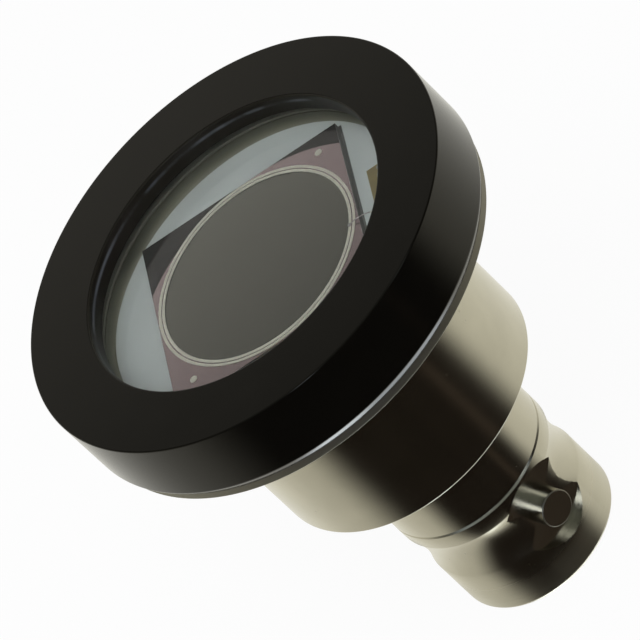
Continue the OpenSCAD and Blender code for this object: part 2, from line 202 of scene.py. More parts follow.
class Finishes(bpy.types.PropertyGroup):
    """Colours of the finishes."""

    anodised: colour("Anodised", "Black anodised aluminium", (0.0028, 0.0025, 0.0019))
    # painted highlight: colour of the bright bluish line painted into the aperture's bore
    painted_highlight: colour("Painted highlight", "Highlight line painted in the aperture", (0.105, 0.113, 0.127))
    nickel: colour("Nickel", "Nickel plate", (0.485, 0.460, 0.365))
    ceramic: colour("Ceramic", "Alumina substrate", (0.640, 0.680, 0.655))
    active: colour("Active area", "Coated active area of the die", (0.165, 0.158, 0.135))
    border: colour("Border", "Oxide border of the die", (0.400, 0.300, 0.312))
    die_side: colour("Die side", "Sawn side of the die", (0.050, 0.052, 0.045))
    die_metal: colour("Die metal", "Metal films on the die", (0.780, 0.750, 0.620))
    bond: colour("Bond wire", "Drawn wire from the die to its pad", (0.370, 0.335, 0.325))
    gold: colour("Gold", "Gold pads", (0.360, 0.280, 0.105))
    contact: colour("Contact", "Gold-plated centre contact", (0.800, 0.560, 0.190))
    solder: colour("Solder", "Solder joints", (0.430, 0.440, 0.420))
    plastic: colour("Plastic", "White insulator", (0.780, 0.775, 0.740))
    seal: colour("Seal", "Bonding ring under the window", (0.200, 0.192, 0.155))
    die_bond: colour("Die bond", "Adhesive under the die", (0.110, 0.112, 0.100))


class StageSettings(bpy.types.PropertyGroup):
    """Camera, floor and light."""

    elevation: angle("Elevation", "Height of the camera above the horizon", 37.09)
    roll: angle("Roll", "Roll of the camera about its own axis", -46.48)
    distance: length("Distance", "Distance of the camera from the front face", 0.4)
    scale: number("Scale", "Picture pixels for each millimetre", 19.76)
    centre_x: number("Centre X", "Pixel column of the face's centre", 231.0)
    centre_y: number("Centre Y", "Pixel row of the face's centre", 241.3)
    floor: colour("Floor", "Floor", (0.90, 0.90, 0.90))
    sky: number("Sky", "Soft light from all round", 0.48)
    key: number("Key", "Power of the key light", 1.0, unit="POWER")
    segments: IntProperty(name="Segments", description="Facets round a turned piece",
                          default=256, min=24)


class Signal:
    """An output socket of a node tree. Arithmetic on it adds Math nodes."""

    def __init__(self, graph, socket):
        self.graph = graph
        self.socket = socket

    def __add__(self, other):
        return self.graph.math("ADD", self, other)

    __radd__ = __add__

    def __sub__(self, other):
        return self.graph.math("SUBTRACT", self, other)

    def __rsub__(self, other):
        return self.graph.math("SUBTRACT", other, self)

    def __mul__(self, other):
        return self.graph.math("MULTIPLY", self, other)

    __rmul__ = __mul__

    def __pow__(self, other):
        return self.graph.math("POWER", self, other)

    def __lt__(self, other):
        return self.graph.math("LESS_THAN", self, other)

    def __gt__(self, other):
        return self.graph.math("GREATER_THAN", self, other)


class Graph:
    """A shader or geometry node tree."""

    def __init__(self, tree):
        self.tree = tree
        tree.nodes.clear()

    def node(self, kind, settings=None, inputs=None, output=0):
        """Adds a node: its settings first, then the values or links of its sockets."""
        made = self.tree.nodes.new(kind)
        for name, value in (settings or {}).items():
            if name == "stops":
                self.set_stops(made.color_ramp, value)
            else:
                setattr(made, name, value)
        for key, value in (inputs or {}).items():
            if isinstance(value, Signal):
                self.tree.links.new(value.socket, made.inputs[key])
            else:
                made.inputs[key].default_value = value
        return Signal(self, made.outputs[output]) if len(made.outputs) else made

    @staticmethod
    def set_stops(ramp, stops):
        """Gives a colour ramp its stops, as (position, grey level)."""
        while len(ramp.elements) < len(stops):
            ramp.elements.new(1.0)
        for element, (position, level) in zip(ramp.elements, stops):
            element.position = position
            element.color = (level, level, level, 1.0)

    def point(self):
        """Object coordinates, as a vector and its three parts."""
        at = self.node("ShaderNodeTexCoord", output="Object")
        parts = self.node("ShaderNodeSeparateXYZ", inputs={0: at}).socket.node
        return at, [Signal(self, socket) for socket in parts.outputs]

    def noise(self, at, size, detail=2.0):
        """Noise with features of about the given size in metres, from 0 to 1."""
        return self.node("ShaderNodeTexNoise", {"noise_dimensions": "3D"},
                         {"Vector": at, "Scale": 1.0 / size, "Detail": detail})

    def streaks(self, along, size, detail=3.0):
        """Noise that changes only along one distance, from 0 to 1."""
        return self.node("ShaderNodeTexNoise", {"noise_dimensions": "1D"},
                         {"W": along, "Scale": 1.0 / size, "Detail": detail})

    def math(self, operation, *values):
        """A Math node on up to three values."""
        return self.node("ShaderNodeMath", {"operation": operation}, dict(enumerate(values)))

    def step(self, value, low, high):
        """A soft step from 0 to 1 between two values."""
        return self.node("ShaderNodeMapRange", {"interpolation_type": "SMOOTHSTEP"},
                         {0: value, 1: low, 2: high})

    def band(self, value, rise, fall):
        """1 between two soft steps, each given by where it starts and ends, and 0 outside."""
        return self.step(value, *rise) - self.step(value, *fall)

    def ramp(self, value, *stops):
        """A value led through a ramp of grey stops."""
        return self.node("ShaderNodeValToRGB", {"stops": stops}, {0: value})

    def mix(self, first, second, factor):
        """A blend of two colours."""
        return self.node("ShaderNodeMix", {"data_type": "RGBA"},
                         {0: factor, 6: rgba(first), 7: rgba(second)}, output=2)

    def vary(self, base, low, high, signal):
        """A colour that a signal leads from one brightness to another."""
        return self.mix(shade(base, low), shade(base, high), signal)

    def bump(self, height, depth):
        """A normal from a height between 0 and 1 that stands for a depth in metres."""
        return self.node("ShaderNodeBump", inputs={"Height": height, "Distance": depth})

    def principled(self, **sockets):
        """The main surface shader; an underscore stands for a space in a socket's name."""
        named = {name.replace("_", " "): value for name, value in sockets.items()}
        return self.node("ShaderNodeBsdfPrincipled", inputs=named)

    def glow(self, base):
        """A shader that gives off a colour."""
        return self.node("ShaderNodeEmission", inputs={"Color": rgba(base), "Strength": 1.0})

    def surface(self, shader):
        """Leads a shader to the material's output."""
        self.node("ShaderNodeOutputMaterial", inputs={"Surface": shader})


def rgba(value):
    """A colour with its alpha, or a signal as it is."""
    return value if isinstance(value, Signal) else (*value, 1.0)


def shade(value, factor):
    """A colour made lighter or darker."""
    return tuple(min(1.0, part * factor) for part in value)


def from_axis(x, y):
    """Distance of a point from the part's axis."""
    return (x * x + y * y) ** 0.5


def new_material(name):
    """An empty material and its graph."""
    material = bpy.data.materials.new(name + "_finish")
    material.use_nodes = True
    return material, Graph(material.node_tree)


def finish_of(slot):
    """The finish made for a material slot of the record."""
    return bpy.data.materials[slot + "_finish"]


def anodised_finish(finish):
    """Satin black anodising on a fine grain; painted highlight and bounce light in the aperture."""
    material, g = new_material("black_anodised")
    at, (x, y, z) = g.point()
    reach = from_axis(x, y)
    cloud = g.noise(at, 2.6 * MM)
    grain = g.noise(at, 45 * UM)
    # painted highlight: a thin bluish line, broken by noise, in the bore just under the aperture's
    # edge
    edge, below, above = BEZEL_HIGH.z - 0.45 * MM, 0.17 * MM, 0.15 * MM
    line = g.band(z, (edge - below, edge), (edge, edge + above))
    bore_wall = WINDOW_HIGH.x * 0.84
    inside = reach < bore_wall
    painted_highlight = line * inside * g.step(g.noise(at, 2.2 * MM, detail=4.0), 0.34, 0.72)
    plain = g.vary(finish.anodised, 0.75, 1.3, cloud)
    # painted bounce light: inside the bore the base colour is four times lighter
    painted_bounce_shade = g.mix(plain, shade(finish.anodised, 4.0), inside)
    g.surface(g.principled(
        Base_Color=g.mix(painted_bounce_shade, finish.painted_highlight, painted_highlight),
        Roughness=0.11 + cloud * 0.05 + grain * 0.05 + inside * 0.25,
        Specular_IOR_Level=0.25,
        Specular_Tint=(1.0, 0.94, 0.74, 1.0),
        Normal=g.bump(grain, 0.6 * UM)))
    return material


def nickel_finish(finish, barrel):
    """Turned, plated metal: lathe lines, small marks, dull rim and lug edge, painted pocket shade.
    """
    material, g = new_material("nickel")
    at, (x, y, z) = g.point()
    reach = from_axis(x, y)
    lines = g.streaks(z + reach, 60 * UM)
    mouth = 1.0 - g.step(z, 1.3 * MM, 2.6 * MM)
    turning = lines * 0.45 + g.streaks(z, 150 * UM) * mouth * 7.0
    cloud = g.noise(at, 2.6 * MM, detail=4.0)
    marks = g.ramp(g.noise(at, 0.4 * MM, detail=1.0), (0.0, 0.0), (0.76, 0.0), (0.82, 1.0))
    plain = g.vary(finish.nickel, 0.86, 1.11, cloud)
    plated = g.mix(plain, shade(finish.nickel, 0.72), marks * 0.5)
    pocket_reach, rim_start = HOUSING_HIGH.x * 0.8, HOUSING_HIGH.x - 0.1 * MM
    inside = (reach < pocket_reach) * (z > SUBSTRATE_LOW.z)
    rim = reach > rim_start
    out = g.math("ABSOLUTE", x * math.cos(barrel.lug_turn) + y * math.sin(barrel.lug_turn))
    lug_edge = (out > barrel.lug_tip - barrel.lug_chamfer - UM) * (out < barrel.lug_tip - UM)
    tip = lug_edge * (z < HOUSING_LOW.z)
    # painted bounce and shade: the pocket's colour is lighter by the substrate and darker towards
    # the top
    painted_bounce_shade = g.vary(finish.nickel, 1.4, 0.45, g.step(z, SUBSTRATE_LOW.z, HOUSING_HIGH.z))
    turned_rough = 0.16 + cloud * 0.05 + lines * 0.05 + marks * 0.1 + mouth * 0.11
    g.surface(g.principled(
        Base_Color=g.mix(g.mix(plated, shade(finish.nickel, 0.55), rim + tip), painted_bounce_shade, inside),
        Metallic=1.0,
        Roughness=turned_rough + (inside + rim + tip) * 0.4,
        Normal=g.bump(turning, UM)))
    return material


def glass_finish():
    """Clear window glass with the faintest unevenness."""
    material, g = new_material("window_glass")
    at, _ = g.point()
    haze = g.noise(at, 4 * MM)
    g.surface(g.principled(
        Base_Color=g.mix((0.955, 0.975, 0.970), (0.975, 0.990, 0.985), haze),
        Roughness=haze * 0.006,
        IOR=GLASS_IOR,
        Specular_Tint=(0.72, 0.76, 0.74, 1.0),
        Transmission_Weight=1.0))
    return material


def ceramic_finish(finish):
    """Fired alumina with a fine grain."""
    material, g = new_material("alumina")
    at, _ = g.point()
    cloud = g.noise(at, 2.0 * MM)
    grain = g.noise(at, 70 * UM)
    g.surface(g.principled(
        Base_Color=g.vary(finish.ceramic, 0.95, 1.05, cloud * 0.6 + grain * 0.4),
        Roughness=0.55 + grain * 0.12,
        Specular_IOR_Level=0.35,
        Normal=g.bump(grain, 1.2 * UM)))
    return material


def silicon_finish(finish):
    """Polished silicon: coated active area, oxide border and sawn sides."""
    material, g = new_material("silicon")
    at, (x, y, z) = g.point()
    reach = from_axis(x, y)
    on_active = reach < RING_HIGH.x - CONTACT_WIDTH
    side_top = DIE_HIGH.z - 0.03 * MM
    on_side = z < side_top
    cloud = g.noise(at, 2.4 * MM)
    saw = g.streaks(z, 25 * UM)
    active = g.vary(finish.active, 0.96, 1.05, cloud)
    border = g.vary(finish.border, 0.95, 1.06, cloud)
    side = g.vary(finish.die_side, 0.8, 1.2, saw)
    g.surface(g.principled(
        Base_Color=g.mix(g.mix(border, active, on_active), side, on_side),
        Metallic=1.0 - on_side,
        Roughness=0.01 + on_side * 0.4 + cloud * 0.004))
    return material


def film_finish(name, base, metal, rough, bump_depth, upper=None, height=0.0):
    """Metal with a fine, slightly uneven grain; the upper colour, if any, starts at a height."""
    material, g = new_material(name)
    at, (_, _, z) = g.point()
    cloud = g.noise(at, 0.6 * MM)
    grain = g.noise(at, 30 * UM)
    look = g.vary(base, 0.9, 1.08, cloud)
    if upper:
        look = g.mix(look, g.vary(upper, 0.9, 1.08, cloud), z > height)
    g.surface(g.principled(
        Base_Color=look,
        Metallic=metal,
        Roughness=rough + grain * 0.1,
        Normal=g.bump(grain, bump_depth)))
    return material


def moulded_finish(name, base, rough):
    """Cast or machined plastic and adhesive."""
    material, g = new_material(name)
    at, _ = g.point()
    cloud = g.noise(at, 1.5 * MM)
    grain = g.noise(at, 60 * UM)
    g.surface(g.principled(
        Base_Color=g.vary(base, 0.92, 1.06, cloud),
        Roughness=rough + grain * 0.12,
        Normal=g.bump(grain, 1.5 * UM)))
    return material


def make_finishes(finish, barrel):
    """All finishes, one for each material slot of the record."""
    above_rings = RING_HIGH.z + 10 * UM
    return [
        anodised_finish(finish),
        nickel_finish(finish, barrel),
        glass_finish(),
        ceramic_finish(finish),
        silicon_finish(finish),
        film_finish("die_metal", finish.die_metal, 0.2, 0.3, 0.2 * UM, finish.bond, above_rings),
        film_finish("gold", finish.contact, 0.6, 0.38, 0.8 * UM, finish.gold, SUBSTRATE_LOW.z),
        film_finish("solder", finish.solder, 0.8, 0.30, 1.0 * UM),
        film_finish("tinned_wire", finish.solder, 1.0, 0.26, 0.6 * UM),
        moulded_finish("white_plastic", finish.plastic, 0.42),
        moulded_finish("seal", finish.seal, 0.5),
        moulded_finish("die_bond", finish.die_bond, 0.5),
    ]


def arc(centre, radius, first, last, steps=8):
    """Points of an arc between two angles in degrees."""
    turns = [math.radians(first + (last - first) * i / steps) for i in range(steps + 1)]
    return [(centre[0] + radius * math.cos(t), centre[1] + radius * math.sin(t)) for t in turns]


def turned(name, profile, segments):
    """A closed solid of revolution about the axis, from a loop of (radius, height) points."""
    form = bmesh.new()
    turns = [2 * math.pi * i / segments for i in range(segments)]
    rings = []
    for radius, height in profile:
        around = turns if radius > 0 else [0.0]
        rings.append([form.verts.new((radius * math.cos(t), radius * math.sin(t), height))
                      for t in around])
    for low, high in zip(rings, rings[1:] + rings[:1]):
        for i in range(segments if len(low) + len(high) > 2 else 0):
            k = (i + 1) % segments
            corners = [low[i % len(low)], low[k % len(low)],
                       high[k % len(high)], high[i % len(high)]]
            form.faces.new(dict.fromkeys(corners))
    bmesh.ops.recalc_face_normals(form, faces=form.faces)
    return as_object(name, form)


def as_object(name, form):
    """A new object in the scene from a bmesh."""
    mesh = bpy.data.meshes.new(name)
    form.to_mesh(mesh)
    form.free()
    piece = bpy.data.objects.new(name, mesh)
    bpy.context.scene.collection.objects.link(piece)
    return piece


def settle(piece):
    """Makes what the piece's modifiers give its plain mesh."""
    graph = bpy.context.evaluated_depsgraph_get()
    plain = bpy.data.meshes.new_from_object(piece.evaluated_get(graph), depsgraph=graph)
    piece.modifiers.clear()
    piece.data = plain


def smooth(piece, sharp=28.0):
    """Smooth shading that keeps flats flat and edges sharp."""
    piece.data.shade_smooth()
    piece.data.set_sharp_from_angle(angle=math.radians(sharp))
    weights = piece.modifiers.new("flats", "WEIGHTED_NORMAL")
    weights.keep_sharp = True
    settle(piece)


def combine(piece, others, operation):
    """Cuts the other solids from a piece, or joins them to it."""
    for other in others:
        change = piece.modifiers.new("change", "BOOLEAN")
        change.operation = operation
        change.solver = "EXACT"
        change.object = other
        settle(piece)
        bpy.data.objects.remove(other)


def dress(piece, slot, *nodes):
    """Gives a finished piece its material and its place in the frame."""
    piece.data.materials.clear()
    piece.data.materials.append(finish_of(slot))
    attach(piece, BODY)
    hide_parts(*nodes)


def paint(node, slot):
    """Gives a solid that stays as it is a new material."""
    solid = frame["nodes"][node]
    for holder in solid.material_slots:
        holder.material = finish_of(slot)


def rounded_copy(node, name, slot, gap=0.0):
    """A smoothly shaded copy of a solid, in its place; a gap lowers its top."""
    form = bmesh.new()
    form.from_mesh(frame["nodes"][node].data)
    bmesh.ops.remove_doubles(form, verts=form.verts, dist=0.1 * UM)
    top = max(vert.co.z for vert in form.verts)
    for vert in form.verts:
        if vert.co.z > top - UM:
            vert.co.z -= gap
    piece = as_object(name, form)
    smooth(piece)
    dress(piece, slot, node)


class MakeFinishes(bpy.types.Operator):
    """Make the procedural materials of all finishes"""

    bl_idname = "photodiode.finishes"
    bl_label = "Finishes"

    def execute(self, context):
        scene = context.scene
        finishes = make_finishes(scene.photodiode_finishes, scene.photodiode_barrel)
        made = {material.name for material in finishes}
        wanted = {entry["slot"] + "_finish" for entry in frame["record"]["materials"]}
        if made != wanted:
            raise RuntimeError(f"finishes and slots differ: {sorted(made ^ wanted)}")
        return {"FINISHED"}


def rear_edge(size, low):
    """The bezel's outer rear edge: a rounding, a steep chamfer and a rounding into the wall."""
    tilt = math.degrees(size.rear_tilt)
    across, along = math.cos(size.rear_tilt), math.sin(size.rear_tilt)
    foot, run, shoulder = size.rear_foot, size.rear_chamfer, size.rear_shoulder
    rise = foot * (1 - along) + run * across + shoulder * along
    out = (foot - shoulder) * across + run * along + shoulder
    points = arc((size.radius - out, low + foot), foot, -90, -tilt)
    return points + arc((size.radius - shoulder, low + rise), shoulder, -tilt, 0)


class MakeBezel(bpy.types.Operator):
    """Turn the black front bezel"""

    bl_idname = "photodiode.bezel"
    bl_label = "Front bezel"

    def execute(self, context):
        size = context.scene.photodiode_bezel
        low, high = BEZEL_LOW.z, BEZEL_HIGH.z
        front, lip = size.front_round, size.aperture_round
        profile = [(size.bore, low)]
        profile += rear_edge(size, low)
        profile += arc((size.radius - front, high - front), front, 0, 90)
        profile += arc((size.aperture + lip, high - lip), lip, 90, 180, 12)
        profile += [(size.aperture, WINDOW_HIGH.z), (size.bore, WINDOW_HIGH.z)]
        piece = turned("bezel", profile, context.scene.photodiode_stage.segments)
        smooth(piece)
        dress(piece, "black_anodised", "front_bezel")
        return {"FINISHED"}


class MakeWindow(bpy.types.Operator):
    """Make the glass window and the bonding ring under it"""

    bl_idname = "photodiode.window"
    bl_label = "Window"

    def execute(self, context):
        chamfer = context.scene.photodiode_bezel.glass_chamfer
        radius, low, high = WINDOW_HIGH.x, WINDOW_LOW.z, WINDOW_HIGH.z
        profile = [(0, low), (radius - chamfer, low), (radius, low + chamfer),
                   (radius, high - chamfer), (radius - chamfer, high), (0, high)]
        piece = turned("window", profile, context.scene.photodiode_stage.segments)
        smooth(piece)
        dress(piece, "window_glass", "window_glass")
        rounded_copy("window_seal", "seal_ring", "seal", gap=SEAL_GAP)
        return {"FINISHED"}


class MakeDie(bpy.types.Operator):
    """Finish the die, its metal films, the substrate and its pads"""

    bl_idname = "photodiode.die"
    bl_label = "Die and substrate"

    def execute(self, context):
        slots = {
            "silicon_die": "silicon", "die_attach": "die_bond", "anode_ring": "die_metal",
            "guard_ring": "die_metal", "probe_dots": "die_metal", "ceramic_substrate": "alumina",
            "anode_pad": "gold", "cathode_pad": "gold",
        }
        for node, slot in slots.items():
            paint(node, slot)
        return {"FINISHED"}


class MakeWiring(bpy.types.Operator):
    """Draw the lead wires along their routes and finish the joints"""

    bl_idname = "photodiode.wiring"
    bl_label = "Wiring"

    def execute(self, context):
        size = context.scene.photodiode_wiring
        anode = [(size.circle, LEAD_HIGH.z), (size.circle, size.plane), (size.inner, size.plane),
                 (size.inner, size.drop), (0.0, size.drop), (0.0, LEAD_LOW.z)]
        cathode = [(size.circle, GROUND_HIGH.z), (size.circle, size.plane),
                   (size.ground, size.plane), (size.ground, GROUND_LOW.z)]
        tree = wire_tree(finish_of("tinned_wire"))
        for name, node, route, turn in (
            ("lead_anode", "anode_lead", anode, size.turn),
            ("lead_cathode", "cathode_lead", cathode, size.turn - math.pi / 2),
        ):
            dress(wire_piece(name, route, turn, tree, size), "tinned_wire", node)
        rounded_copy("bond_wire", "wire_bond", "die_metal")
        rounded_copy("anode_solder", "joint_anode", "solder")
        rounded_copy("cathode_solder", "joint_cathode", "solder")
        rounded_copy("ground_solder", "joint_ground", "solder")
        rounded_copy("lead_sleeve", "sleeve", "white_plastic")
        return {"FINISHED"}


def wire_tree(material):
    """Geometry nodes that turn a route into a round wire with filleted bends."""
    tree = bpy.data.node_groups.new("wire along a route", "GeometryNodeTree")
    face = tree.interface
    face.new_socket("Route", in_out="INPUT", socket_type="NodeSocketGeometry")
    face.new_socket("Wire radius", in_out="INPUT", socket_type="NodeSocketFloat")
    face.new_socket("Bend radius", in_out="INPUT", socket_type="NodeSocketFloat")
    face.new_socket("Wire", in_out="OUTPUT", socket_type="NodeSocketGeometry")
    g = Graph(tree)
    given = g.node("NodeGroupInput").socket.node
    route, wire_radius, bend_radius = [Signal(g, socket) for socket in list(given.outputs)[:3]]
    line = g.node("GeometryNodeMeshToCurve", inputs={"Mesh": route})
    bent = g.node("GeometryNodeFilletCurve", {"mode": "POLY"},
                  {"Curve": line, "Count": 8, "Radius": bend_radius})
    section = g.node("GeometryNodeCurvePrimitiveCircle",
                     inputs={"Resolution": 24, "Radius": wire_radius})
    tube = g.node("GeometryNodeCurveToMesh",
                  inputs={"Curve": bent, "Profile Curve": section, "Fill Caps": True})
    plain = g.node("GeometryNodeRealizeInstances", inputs={"Geometry": tube})
    dressed = g.node("GeometryNodeSetMaterial", inputs={"Geometry": plain, "Material": material})
    g.node("NodeGroupOutput", inputs={"Wire": dressed})
    return tree


def wire_piece(name, route, turn, tree, size):
    """A round wire along a route of (radius, height) points in the half plane at a turn."""
    form = bmesh.new()
    points = [form.verts.new((r * math.cos(turn), r * math.sin(turn), z)) for r, z in route]
    for first, second in zip(points, points[1:]):
        form.edges.new((first, second))
    piece = as_object(name, form)
    sweep = piece.modifiers.new("sweep", "NODES")
    sweep.node_group = tree
    sockets = {item.name: item.identifier
               for item in tree.interface.items_tree if item.in_out == "INPUT"}
    sweep[sockets["Wire radius"]] = size.wire
    sweep[sockets["Bend radius"]] = size.bend
    settle(piece)
    form = bmesh.new()
    form.from_mesh(piece.data)
    bmesh.ops.recalc_face_normals(form, faces=form.faces)
    form.to_mesh(piece.data)
    form.free()
    smooth(piece, 40.0)
    return piece


class MakeHousing(bpy.types.Operator):
    """Turn the nickel housing"""

    bl_idname = "photodiode.housing"
    bl_label = "Housing"

    def execute(self, context):
        size = context.scene.photodiode_housing
        flange, edge = HOUSING_HIGH.x, size.edge_round
        low, high = HOUSING_LOW.z, HOUSING_HIGH.z
        profile = [
            (size.neck_bore, low), (size.neck - size.chamfer, low), (size.neck, low + size.chamfer),
            (size.neck, size.neck_end),
        ]
        profile += arc((size.body - edge, size.neck_end + edge), edge, -90, 0)
        profile += [(size.body, size.flange_rear)]
        profile += arc((flange - edge, size.flange_rear + edge), edge, -90, 0)
        profile += [
            (flange, BEZEL_LOW.z), (size.spigot, BEZEL_LOW.z), (size.spigot, high),
            (size.pocket, high), (size.pocket, SUBSTRATE_LOW.z),
            (size.relief, SUBSTRATE_LOW.z), (size.relief, size.relief_floor),
            (size.body_bore, size.relief_floor), (size.body_bore, size.floor),
            (size.neck_bore, size.floor),
        ]
        piece = turned("case", profile, context.scene.photodiode_stage.segments)
        smooth(piece)
        dress(piece, "nickel", "housing")
        return {"FINISHED"}


def barrel_blank(size, housing, insulator, segments):
    """The connector barrel as it comes off the lathe."""
    collar = HOUSING_LOW.z
    neck, edge = housing.neck, housing.chamfer
    waist = []
    for i in range(WAIST_STEPS + 1):
        s = i / WAIST_STEPS
        hollow = 4 * size.waist_depth * s * (1 - s)
        waist.append((size.ring + (neck - size.ring) * s - hollow,
                      size.ring_end + (size.waist_end - size.ring_end) * s))
    profile = [(size.mouth, 0.0)]
    profile += arc((size.ring - size.mouth_round, size.mouth_round), size.mouth_round, -90, 0, 10)
    profile += waist
    profile += [
        (neck, collar - edge), (neck - edge, collar),
        (size.plug, collar), (size.plug, BARREL_HIGH.z),
        (insulator + size.fit, BARREL_HIGH.z), (insulator + size.fit, collar),
        (size.nose + size.fit, collar), (size.nose + size.fit, size.mouth_floor),
        (size.mouth, size.mouth_floor),
    ]
    return turned("barrel", profile, segments)


def outward(piece, turn, height):
    """Lays a piece that was turned about the axis so that it points out from the axis."""
    lift = Matrix.Translation((0, 0, height))
    lay = Matrix.Rotation(math.pi / 2, 4, "Y")
    piece.data.transform(lift @ Matrix.Rotation(turn, 4, "Z") @ lay)
    return piece


class MakeConnector(bpy.types.Operator):
    """Turn the bayonet barrel, mill its spot-faces, set its lugs and fill it"""

    bl_idname = "photodiode.connector"
    bl_label = "Connector"

    def execute(self, context):
        size = context.scene.photodiode_barrel
        segments = context.scene.photodiode_stage.segments
        piece = barrel_blank(size, context.scene.photodiode_housing, INSULATOR_HIGH.x, segments)
        turns = (size.lug_turn, size.lug_turn + math.pi)
        spot = [(0, size.spot_floor), (size.spot, size.spot_floor), (size.spot, size.lug_tip + MM),
                (0, size.lug_tip + MM)]
        root = (size.mouth + size.spot_floor) / 2
        lug = [(0, root), (size.lug, root), (size.lug, size.lug_tip - size.lug_chamfer),
               (size.lug - size.lug_chamfer, size.lug_tip), (0, size.lug_tip)]
        mills = [outward(turned("mill", spot, SPOT_FACETS), t, size.lug_height) for t in turns]
        combine(piece, mills, "DIFFERENCE")
        pins = [outward(turned("pin", lug, LUG_FACETS), t, size.lug_height) for t in turns]
        combine(piece, pins, "UNION")
        smooth(piece)
        dress(piece, "nickel", "connector_barrel")
        nose = [(size.nose_bore, INSULATOR_LOW.z), (size.nose, INSULATOR_LOW.z),
                (size.nose, HOUSING_LOW.z), (INSULATOR_HIGH.x, HOUSING_LOW.z),
                (INSULATOR_HIGH.x, INSULATOR_HIGH.z), (size.nose_bore, INSULATOR_HIGH.z)]
        insulator = turned("insulator", nose, segments)
        smooth(insulator)
        dress(insulator, "white_plastic", "connector_insulator")
        rounded_copy("centre_contact", "contact_pin", "gold")
        return {"FINISHED"}


def flat_card(name, across, along, height):
    """A level stage card between two X and two Y."""
    (left, right), (front, back) = across, along
    corners = [(left, front), (right, front), (right, back), (left, back)]
    form = bmesh.new()
    form.faces.new([form.verts.new((x, y, height)) for x, y in corners])
    bmesh.ops.recalc_face_normals(form, faces=form.faces)
    return stage_card(name, form)


def dome_card(name, radius, sides, heights, steps=24):
    """A stage card on a sphere round the part, between two azimuths from -Y and two heights."""
    form = bmesh.new()
    rows = []
    for i in range(steps + 1):
        height = heights[0] + (heights[1] - heights[0]) * i / steps
        row = []
        for k in range(steps + 1):
            side = sides[0] + (sides[1] - sides[0]) * k / steps
            flat = radius * math.cos(height)
            place = (flat * math.sin(side), -flat * math.cos(side), radius * math.sin(height))
            row.append(form.verts.new(place))
        rows.append(row)
    for low, high in zip(rows, rows[1:]):
        for k in range(steps):
            form.faces.new((low[k], low[k + 1], high[k + 1], high[k]))
    return stage_card(name, form)


def stage_card(name, form):
    """A stage object from a bmesh."""
    card = as_object(name, form)
    return card


def only_reflected(card):
    """Lets a card show in reflections alone."""
    card.visible_camera = False
    card.visible_diffuse = False
    card.visible_shadow = False
    card.visible_volume_scatter = False


def ray_kind(g, *kinds):
    """1 for rays of the named kinds that no matt surface has scattered, else 0."""
    path = g.node("ShaderNodeLightPath").socket.node
    total = 0.0
    for kind in kinds:
        total = Signal(g, path.outputs[kind]) + total
    return total * (Signal(g, path.outputs["Diffuse Depth"]) < 0.5)


def floor_finish(finish):
    """Pale floor: white to the eye, with the part's shadow left faint."""
    material, g = new_material("studio_floor")
    at, _ = g.point()
    cloud = g.noise(at, 60 * MM)
    matt = g.principled(Base_Color=g.vary(finish, 0.98, 1.02, cloud), Roughness=0.9)
    white = g.glow(PURE_WHITE)
    share = ray_kind(g, "Is Camera Ray") * 0.94 + ray_kind(g, "Is Transmission Ray")
    g.surface(g.node("ShaderNodeMixShader", inputs={0: share, 1: matt, 2: white}))
    return material


def card_finish(name, paint_card):
    """A card that glows with a painted colour, and lets scattered light pass."""
    material, g = new_material(name)
    at, parts = g.point()
    glow = g.glow(paint_card(g, at, *parts))
    clear = g.node("ShaderNodeBsdfTransparent", inputs={"Color": rgba(PURE_WHITE)})
    direct = ray_kind(g, "Is Glossy Ray", "Is Transmission Ray")
    g.surface(g.node("ShaderNodeMixShader", inputs={0: direct, 1: clear, 2: glow}))
    return material


def paint_flag(g, at, x, y, z):
    """Dark room in front of the part, in degrees of azimuth from -Y and of height.

    Soft borders lead to the white round it. A streak, a dim window, a bar and a lamp stand in it.
    """
    side = g.math("ARCTAN2", x, y * -1.0) * (1.0 / DEGREE)
    height = g.math("ARCSINE", z * (1.0 / FLAG_REACH)) * (1.0 / DEGREE)
    left = 1.0 - g.step(side, -94, -56) * 0.72 - g.step(side, -150, -84) * 0.28
    lean = side - g.math("MAXIMUM", height + 28.0, 0.0) * 0.6
    right = g.step(lean, 49, 77) * 0.85 + g.step(lean, 71, 127) * 0.15
    below = 1.0 - g.step(height, -70, -56)
    low = 1.0 - g.step(height, 20, 40)
    white = g.math("MAXIMUM", g.math("MAXIMUM", left, right) * low, below)
    streak = g.band(side, (27, 30), (33, 37)) * low
    window = g.band(side, (-110, -50), (48, 66)) * g.step(height, 30, 42)
    bar = g.band(side, (33, 38), (47, 53)) * g.band(height, (25, 30), (38, 42))
    lamp = g.band(side, (-28, -25), (-18, -14)) * g.band(height, (8, 13), (26, 32))
    folds = g.streaks(side, 7.0)
    dark = g.mix((0.003, 0.002, 0.002), (0.028, 0.022, 0.017), folds)
    room = g.mix(g.mix(dark, (0.066, 0.051, 0.041), streak), WARM_WHITE, white)
    pane = g.mix((0.42, 0.49, 0.56), (0.20, 0.21, 0.20), g.step(height, 42, 50))
    bright = g.mix(g.mix(room, pane, window), (2.4, 2.6, 3.1), bar)
    return g.mix(bright, (5.2, 5.8, 7.6), lamp)


def paint_ceiling(g, at, x, y, z):
    """Grey ceiling that is lighter towards the back."""
    back = g.band(y, (30 * MM, 105 * MM), (100 * MM, 150 * MM))
    weave = g.noise(at, 30 * MM)
    return g.mix((0.0, 0.0, 0.0), (1.0, 0.98, 0.93), back * 0.60 + 0.11 + weave * 0.02)


def paint_under(g, at, x, y, z):
    """A bright strip straight below, which lines the rounded rear edges."""
    width = g.band(x, (-46 * MM, -30 * MM), (26 * MM, 44 * MM))
    strip = g.band(y, (-24 * MM, -12 * MM), (24 * MM, 38 * MM)) * width
    hot = g.band(x, (-40 * MM, -30 * MM), (-18 * MM, -6 * MM))
    glow = g.mix((2.7, 2.9, 3.1), (5.0, 5.4, 5.7), hot)
    weave = g.noise(at, 30 * MM)
    return g.mix(WARM_WHITE, glow, strip * (0.9 + weave * 0.2))


